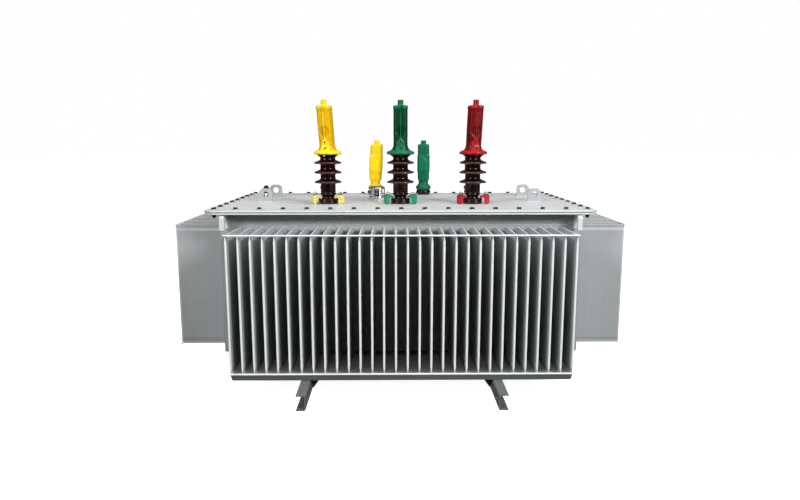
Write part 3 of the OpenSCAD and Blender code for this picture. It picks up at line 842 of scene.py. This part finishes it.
def hv_cap(phase):
    """A high-voltage cap: round brim, cone, ribbed body with a pressed panel, collar and nib."""
    node = f"hv_cover_{phase}"
    low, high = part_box(node)
    middle_x, offset = lean_of(node)
    centre = Vector((middle_x, axis_of(f"hv_bushing_{phase}").y, low.z))
    total = high.z - low.z
    hinge = 30 * MM
    slope = offset / (total - hinge)
    half = 33.5 * MM
    rib_tall, rib_more, shield_tall, panel_deep, groove_deep = 3.2 * MM, 1.8 * MM, 3.5 * MM, 3.5 * MM, 3 * MM
    panel_z, panel_wide, panel_high = 108 * MM, 25 * MM, 27 * MM
    groove_x = 4.2 * MM
    levels = [
        (0.0, 59 * MM, 2.0), (0.5 * MM, 63 * MM, 2.0), (3 * MM, 66 * MM, 2.0), (7 * MM, 67 * MM, 2.0),
        (11 * MM, 66 * MM, 2.0), (15 * MM, 61 * MM, 2.0), (18 * MM, 52 * MM, 2.05), (22 * MM, 45 * MM, 2.1),
        (28 * MM, 39.5 * MM, 2.4), (36 * MM, 36 * MM, 2.8), (44 * MM, half + 0.6 * MM, 3.2),
        (60 * MM, half + 0.2 * MM, 3.6), (90 * MM, half + 0.4 * MM, 3.8), (150 * MM, half + 0.5 * MM, 4.0),
        (213 * MM, half + 0.3 * MM, 4.0), (215 * MM, half + 2 * MM, 4.0), (225 * MM, half + 2 * MM, 3.8),
        (229 * MM, half, 3.4), (231 * MM, half - 8 * MM, 2.8), (232 * MM, 15 * MM, 2.0),
        (234 * MM, 14 * MM, 2.0), (total - 3 * MM, 13.5 * MM, 2.0), (total - 0.6 * MM, 12 * MM, 2.0),
        (total, 9 * MM, 2.0)]

    def relief(x, y, z):
        """The seam's rib, the shield round the clips and the round pressed panel behind the rib, with painted
        shade in the panel and groove and a painted highlight on the brim, collar, shield and rib.
        """
        # painted highlight on the brim and the collar
        rim_highlight = max(1 - smooth(z, 16 * MM, 24 * MM), 0.75 * smooth(z, 211 * MM, 215 * MM))
        if abs(y) < FACE_FROM and z < 230 * MM:
            return 0, 0, rim_highlight
        out = 1 if y > 0 else -1
        tall = rib_tall + rib_more * smooth(z, 198 * MM, 206 * MM)
        rib = tall * (1 - smooth(abs(x), 1.3 * MM, 2.4 * MM)) * smooth(z, 30 * MM, 40 * MM)
        rib *= 1 - smooth(z, total - 8 * MM, total - 3 * MM)
        reach = 26 * MM - 6 * MM * smooth(z, 20 * MM, 46 * MM) - 20 * MM * smooth(z, 50 * MM, 86 * MM)
        shield = shield_tall * (1 - smooth(abs(x), reach - 1.5 * MM, reach))
        shield *= (1 - smooth(z, 82 * MM, 88 * MM)) * smooth(z, 14 * MM, 18 * MM)
        spread = math.hypot(x / panel_wide, (z - panel_z) / panel_high)
        panel = (1 - smooth(spread, 0.82, 1.0)) * (1 - smooth(z, 205 * MM, 210 * MM))
        groove = smooth(abs(x - groove_x), 1.6 * MM, 0.8 * MM) if z > 196 * MM else 0
        groove *= smooth(z, 198 * MM, 202 * MM) * (1 - smooth(z, 226 * MM, 230 * MM))
        panel *= 1 - smooth(shield, 0, 1 * MM)
        push = max(rib, shield) - panel_deep * panel * (1 - smooth(rib, 0, 0.5 * MM)) - groove_deep * groove
        # painted shade in the pressed panel and the groove
        painted_shade = max(0.5 * panel * (1 - smooth(rib, 0, 1 * MM)), groove)
        # painted highlight on the shield, and below on the rib
        rim_highlight = max(rim_highlight, 0.8 * smooth(shield, 0.5 * MM, 3 * MM))
        return out * push, painted_shade, max(rim_highlight, smooth(rib, 1 * MM, 3 * MM)) * (1 - groove)

    colour = PHASE_COLOUR[phase] + "_cap"
    place = leaning(centre, hinge, slope, HV_TURN[phase])
    cap(f"hv_cap_{phase}", levels, place, colour, node, relief, segments=176, step=2.6 * MM)
    cap_clips(phase, place, colour)


def cap_clips(phase, place, colour):
    """The tongues along the front and back seams of a cap, and black discs there that stand for the shade in
    its clip slots.
    """
    tongue_in, tongue_out = 55 * MM, 61 * MM
    tongues, slot_shadows = bmesh.new(), bmesh.new()
    for out in (-1, 1):
        corners = []
        for z in (-9 * MM, -7 * MM, 6 * MM):
            half = 3 * MM if z < -8 * MM else 4.5 * MM
            flat = ((-half, tongue_in), (half, tongue_in), (half, tongue_out), (-half, tongue_out))
            corners.append([place(Vector((x, out * y, z))) for x, y in flat])
        add_rings(tongues, corners)
        # painted shade: black discs where the clip slots lie in shade
        for x, z, depth, radius in ((0.5, 58, 38.0, 3.6), (3.5, 31, 43.2, 4.2), (-0.5, 25, 46.5, 3.2)):
            spot = place(Vector((x, out * depth, z)) * MM)
            aim = Matrix.Translation(spot) @ Matrix.Rotation(math.radians(90 * -out), 4, "X")
            stub = [(radius * MM, -4 * MM), (radius * MM, 0), (radius * 0.7 * MM, 0.6 * MM)]
            add_lathe(slot_shadows, stub, None, 16, place=aim)
    piece(f"hv_cap_tongues_{phase}", tongues, MAT[colour], bevel=0.8 * MM, sharp=50)
    piece(f"hv_cap_slot_shadows_{phase}", slot_shadows, MAT["black_cap"], sharp=50)


def lv_cap(phase):
    """A low-voltage cap: flared skirt, neck and a body in three steps."""
    node = f"lv_cover_{phase}"
    low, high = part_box(node)
    offset = lean_of(node)[1]
    centre = axis_of(f"lv_bushing_{phase}") + Vector((0, 0, low.z))
    total = high.z - low.z
    hinge = 54 * MM
    slope = offset / (total - hinge)
    # the whole cap is mixed 0.7 of the way to its light colour; the raised field a further 0.25, as a painted
    # highlight
    field_tall, shade = 2.2 * MM, 0.7
    levels = [
        (0, 34 * MM, 2.0), (0.5 * MM, 36 * MM, 2.0), (9 * MM, 41.5 * MM, 2.0), (14 * MM, 42.9 * MM, 2.0),
        (18 * MM, 42.4 * MM, 2.0), (24 * MM, 37 * MM, 2.0), (31 * MM, 30 * MM, 2.0), (38 * MM, 27 * MM, 2.0),
        (53 * MM, 27 * MM, 2.1), (54 * MM, 29 * MM, 3.0), (57 * MM, 31.5 * MM, 3.6), (62 * MM, 32 * MM, 4.0),
        (101 * MM, 32 * MM, 4.0), (102 * MM, 35.4 * MM, 4.0), (105 * MM, 35.6 * MM, 4.0),
        (107 * MM, 34.6 * MM, 4.0), (193 * MM, 34.2 * MM, 4.0), (197 * MM, 32.2 * MM, 4.0),
        (246 * MM, 31.8 * MM, 3.8), (252 * MM, 30.5 * MM, 3.4), (256 * MM, 25 * MM, 2.8),
        (257 * MM, 16 * MM, 2.0), (259 * MM, 14.6 * MM, 2.0), (total - 3 * MM, 14.6 * MM, 2.0),
        (total - 0.5 * MM, 13 * MM, 2.0), (total, 9 * MM, 2.0)]

    def field(x, y, z):
        """A raised field with a curved edge on the front and back of the middle step, which takes a painted
        highlight.
        """
        if abs(y) < FACE_FROM:
            return 0, 0, shade
        spread = math.hypot((x + 36 * MM) / (70 * MM), (z - 107 * MM) / (88 * MM))
        raised = (1 - smooth(spread, 0.96, 1.0)) * smooth(z, 108 * MM, 110 * MM)
        raised *= 1 - smooth(z, 188 * MM, 191 * MM)
        return (1 if y > 0 else -1) * field_tall * raised, 0.0, shade + 0.25 * raised

    colour = PHASE_COLOUR[phase] + "_cap"
    place = leaning(centre, hinge, slope, LV_TURN[phase])
    cap(f"lv_cap_{phase}", levels, place, colour, node, field, segments=144, step=3 * MM)


def lv_porcelain(phase):
    """The short foot of a low-voltage bushing."""
    node = f"lv_bushing_{phase}"
    low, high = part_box(node)
    foot, tall = (high.x - low.x) / 2, high.z - low.z
    outline = [(0.1 * MM, 0), (foot - 6 * MM, 0), (foot - 4 * MM, 3 * MM), (foot - 4 * MM, 8 * MM),
               (foot, 12 * MM), (foot, tall - 5 * MM), (foot - 4 * MM, tall), (0.1 * MM, tall)]
    bm = bmesh.new()
    bm.verts.layers.float.new("edge")
    add_lathe(bm, rounded(outline, 3 * MM, 3), axis_of(node) + Vector((0, 0, low.z)), 56)
    piece(f"lv_porcelain_{phase}", bm, MAT["porcelain"], replaces=[node], sharp=70)


for hv_phase in HV_PHASES:
    hv_porcelain(hv_phase)
    hv_clamps(hv_phase)
    hv_cap(hv_phase)
for lv_phase in LV_PHASES:
    lv_porcelain(lv_phase)
    lv_cap(lv_phase)


# ---------------------------------------------------------------- lid fittings


def relief_valve():
    """Base ring, posts and domed crown of the pressure relief valve, with its knob, flag, core and spring."""
    low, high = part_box("pressure_relief_valve")
    centre = axis_of("pressure_relief_valve") + Vector((0, 0, low.z))
    outer, tall = (high.x - low.x) / 2, high.z - low.z
    crown_low, crown_high = tall - 19 * MM, tall - 8 * MM
    bm = bmesh.new()
    ring = [(0.1 * MM, 0), (outer - 1 * MM, 0), (outer, 2 * MM), (outer, 9 * MM), (outer - 2 * MM, 12 * MM),
            (outer - 10 * MM, 13 * MM), (0.1 * MM, 13 * MM)]
    add_lathe(bm, rounded(ring, 1.5 * MM, 2), centre, 72)
    crown = [(0.1 * MM, crown_low), (outer - 2 * MM, crown_low), (outer, crown_low + 2 * MM),
             (outer, crown_high - 3 * MM), (outer - 4 * MM, crown_high), (outer - 14 * MM, tall - 2 * MM),
             (12 * MM, tall), (0.1 * MM, tall)]
    add_lathe(bm, rounded(crown, 2 * MM, 3), centre, 72)
    posts, first_post, half_turn = 6, -60, math.radians(13)
    for i in range(posts):
        middle = math.radians(first_post + 360 / posts * i)
        rings = []
        for z in (10 * MM, crown_low + 3 * MM):
            sweep = [middle + half_turn * (k / 3 - 1) for k in range(7)]
            rims = [(a, outer - 1 * MM) for a in sweep] + [(a, outer - 7 * MM) for a in reversed(sweep)]
            rings.append([centre + Vector((r * math.cos(a), r * math.sin(a), z)) for a, r in rims])
        add_rings(bm, rings)
    piece("relief_valve", bm, MAT["bright_steel"], replaces=["pressure_relief_valve"],
          bevel=0.6 * MM, sharp=35)
    dark = bmesh.new()
    add_lathe(dark, [(0.1 * MM, 12 * MM), (20 * MM, 12 * MM), (20 * MM, crown_low + 3 * MM)], centre, 32)
    knob = [(8 * MM, -16 * MM), (8 * MM, -2 * MM), (6 * MM, 0)]
    aim = Matrix.Translation(centre + Vector((-outer - 7 * MM, 0, 34 * MM)))
    aim = aim @ Matrix.Rotation(-math.pi / 2, 4, "Y")
    add_lathe(dark, rounded(knob, 1 * MM, 2), None, 20, place=aim)
    flag = centre + Vector((-26 * MM, -10 * MM, crown_high - 4 * MM))
    add_box(dark, flag - Vector((8, 4, 4)) * MM, flag + Vector((8, 4, 9)) * MM)
    piece("relief_valve_core", dark, MAT["black_cap"], bevel=0.5 * MM, sharp=40)
    spring = bmesh.new()
    add_spring(spring, centre + Vector((0, 0, 14 * MM)), 26 * MM, 3 * MM, crown_low - 15 * MM, 4)
    piece("relief_valve_spring", spring, MAT["zinc"], sharp=180)


def add_spring(bm, centre, radius, wire, height, turns):
    """A coil spring that stands on centre."""
    sides, steps = 8, 20
    rings = []
    for i in range(turns * steps + 1):
        a = 2 * math.pi * i / steps
        out = Vector((math.cos(a), math.sin(a), 0))
        middle = centre + out * radius + Vector((0, 0, wire + (height - 2 * wire) * i / (turns * steps)))
        ring = []
        for k in range(sides):
            b = 2 * math.pi * k / sides
            ring.append(middle + out * wire * math.cos(b) + Vector((0, 0, wire * math.sin(b))))
        rings.append(ring)
    add_rings(bm, rings)


def thermometer_pocket():
    """A black screw cap with a ribbed grip on a steel pocket."""
    low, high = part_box("thermometer_pocket")
    centre = axis_of("thermometer_pocket") + Vector((0, 0, low.z))
    tall = high.z - low.z
    cap_r, steps = 15 * MM, 72
    bm = bmesh.new()
    bm.verts.layers.float.new("painted_shade")
    profile = rounded([(cap_r - 1.5 * MM, 28 * MM), (cap_r, 31 * MM), (cap_r, tall - 14 * MM),
                       (cap_r - 2 * MM, tall - 8 * MM), (cap_r - 6 * MM, tall - 3 * MM), (3 * MM, tall),
                       (0.1 * MM, tall)], 3 * MM, 3)
    rings = []
    for r, z in profile:
        ring = []
        for i in range(steps):
            a = 2 * math.pi * i / steps
            grip = 0.7 * MM * (i % 3 == 0) * (z < tall - 13 * MM)
            ring.append(centre + Vector(((r - grip) * math.cos(a), (r - grip) * math.sin(a), z)))
        rings.append(ring)
    add_rings(bm, rings)
    piece("pocket_cap", bm, MAT["black_cap"], replaces=["thermometer_pocket"], sharp=50)
    stem = bmesh.new()
    outline = [(0.1 * MM, 0), (18 * MM, 0), (18 * MM, 6 * MM), (16.5 * MM, 8 * MM), (11 * MM, 8 * MM),
               (11 * MM, 30 * MM), (0.1 * MM, 30 * MM)]
    add_lathe(stem, rounded(outline, 1 * MM, 2), centre, 40)
    piece("pocket_stem", stem, MAT["zinc"], sharp=40)


relief_valve()
thermometer_pocket()

# the CAD nodes that the pieces above replace keep the same materials
for fin_side in SIDES:
    dress(f"{fin_side}_cooling_fins", "fin_paint")
for hv_phase in HV_PHASES:
    dress(f"hv_bushing_{hv_phase}", "porcelain")
    dress(f"hv_cover_{hv_phase}", PHASE_COLOUR[hv_phase] + "_cap")
    dress(f"hv_clamps_{hv_phase}", PHASE_COLOUR[hv_phase] + "_clamp")
for lv_phase in LV_PHASES:
    dress(f"lv_bushing_{lv_phase}", "porcelain")
    dress(f"lv_cover_{lv_phase}", PHASE_COLOUR[lv_phase] + "_cap")
dress("pressure_relief_valve", "bright_steel")
dress("thermometer_pocket", "black_cap")


# ---------------------------------------------------------------- floor, light and camera

FLOOR_GLOW = 0.96
FILL_BELOW, FILL_ABOVE = 0.03, 0.16
FILL_HEIGHTS = (-0.15, 0.35)


def under_channels(look):
    """1 where the floor lies in the dark under the two base channels, 0 elsewhere."""
    low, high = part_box("right_base_channel")
    margin = 3 * MM
    split = look.tree.nodes.new("ShaderNodeSeparateXYZ")
    look.link(look.coords, split.inputs[0])
    inside = []
    for axis, middle, reach in (("X", (low.x + high.x) / 2, (high.x - low.x) / 2), ("Y", 0, high.y)):
        size = look.tree.nodes.new("ShaderNodeMath")
        size.operation = "ABSOLUTE"
        look.link(split.outputs[axis], size.inputs[0])
        within = look.tree.nodes.new("ShaderNodeMath")
        within.operation = "COMPARE"
        look.link(size.outputs[0], within.inputs[0])
        within.inputs[1].default_value = middle
        within.inputs[2].default_value = reach - margin
        inside.append(within.outputs[0])
    both = look.tree.nodes.new("ShaderNodeMath")
    both.operation = "MULTIPLY"
    look.link(inside[0], both.inputs[0])
    look.link(inside[1], both.inputs[1])
    return both.outputs[0]


def floor():
    """A wide, plain, pale floor that glows, so that it stays white far away."""
    bm = bmesh.new()
    bmesh.ops.create_circle(bm, cap_ends=True, segments=96, radius=60)
    mesh = bpy.data.meshes.new("floor")
    bm.to_mesh(mesh)
    bm.free()
    obj = bpy.data.objects.new("floor", mesh)
    scene.collection.objects.link(obj)
    look = Look("studio floor", roughness=0.8, specular=0.1)
    shade = under_channels(look)
    tone = look.ramp(look.noise(1.5, detail=3), 0.3, 0.7, (0.80, 0.80, 0.80), (0.84, 0.84, 0.84))
    look.colour(look.mix(shade, tone, (0.01, 0.01, 0.01)))
    look.bsdf.inputs["Emission Color"].default_value = (1, 1, 1, 1)
    glow = look.tree.nodes.new("ShaderNodeMath")
    glow.operation = "MULTIPLY_ADD"
    glow.inputs[1].default_value, glow.inputs[2].default_value = -FLOOR_GLOW, FLOOR_GLOW
    look.link(shade, glow.inputs[0])
    look.link(glow.outputs[0], look.bsdf.inputs["Emission Strength"])
    mesh.materials.append(look.mat)
    obj.visible_diffuse = False
    obj.visible_glossy = False
    obj.visible_shadow = False


def soft_box(name, place, target, size, power, mirrored=True):
    """A rectangular light aimed at target; one that isn't mirrored shows in no reflection."""
    data = bpy.data.lights.new(name, "AREA")
    data.shape = "RECTANGLE"
    data.size, data.size_y = size
    data.energy = power
    obj = bpy.data.objects.new(name, data)
    scene.collection.objects.link(obj)
    obj.location = place
    obj.rotation_euler = (Vector(target) - Vector(place)).to_track_quat("-Z", "Y").to_euler()
    obj.visible_glossy = mirrored


def world():
    """A white backdrop for the camera, and for the rest a dim studio that is lighter above than below."""
    made = bpy.data.worlds.new("studio")
    scene.world = made
    made.use_nodes = True
    tree = made.node_tree
    tree.nodes.clear()
    out = tree.nodes.new("ShaderNodeOutputWorld")
    coords = tree.nodes.new("ShaderNodeTexCoord")
    split = tree.nodes.new("ShaderNodeSeparateXYZ")
    ramp = tree.nodes.new("ShaderNodeMapRange")
    for socket, number in zip(RANGE_SOCKETS, (*FILL_HEIGHTS, FILL_BELOW, FILL_ABOVE)):
        ramp.inputs[socket].default_value = number
    fill = tree.nodes.new("ShaderNodeBackground")
    shown = tree.nodes.new("ShaderNodeBackground")
    path = tree.nodes.new("ShaderNodeLightPath")
    mix = tree.nodes.new("ShaderNodeMixShader")
    for node in (fill, shown):
        node.inputs["Color"].default_value = (1, 1, 1, 1)
    tree.links.new(coords.outputs["Generated"], split.inputs[0])
    tree.links.new(split.outputs["Z"], ramp.inputs["Value"])
    tree.links.new(ramp.outputs["Result"], fill.inputs["Strength"])
    tree.links.new(path.outputs["Is Camera Ray"], mix.inputs["Fac"])
    tree.links.new(fill.outputs["Background"], mix.inputs[1])
    tree.links.new(shown.outputs["Background"], mix.inputs[2])
    tree.links.new(mix.outputs["Shader"], out.inputs["Surface"])


def camera():
    """Eye-level view of the high-voltage side, a little above the lid."""
    data = bpy.data.cameras.new("camera")
    data.sensor_width = 36.0
    data.lens = 29.39
    data.clip_end = 200
    obj = bpy.data.objects.new("camera", data)
    scene.collection.objects.link(obj)
    obj.location = (-0.036, -3.334, 1.071)
    obj.rotation_euler = (math.radians(90 - 9.50), 0, math.radians(-0.605))
    scene.camera = obj


floor()
world()
soft_box("top", (0.3, -0.8, 5.0), (0, 0, 0.6), (4.0, 3.0), 115)
soft_box("left", (-3.8, -4.0, 3.1), (0, 0, 0.5), (1.6, 1.6), 215)
soft_box("right", (3.6, -4.2, 3.1), (0, 0, 0.5), (1.6, 1.6), 330)
soft_box("back", (-1.0, 5.2, 3.0), (0, 0, 0.5), (2.6, 2.0), 50, mirrored=False)
camera()
scene.view_settings.view_transform = "Standard"
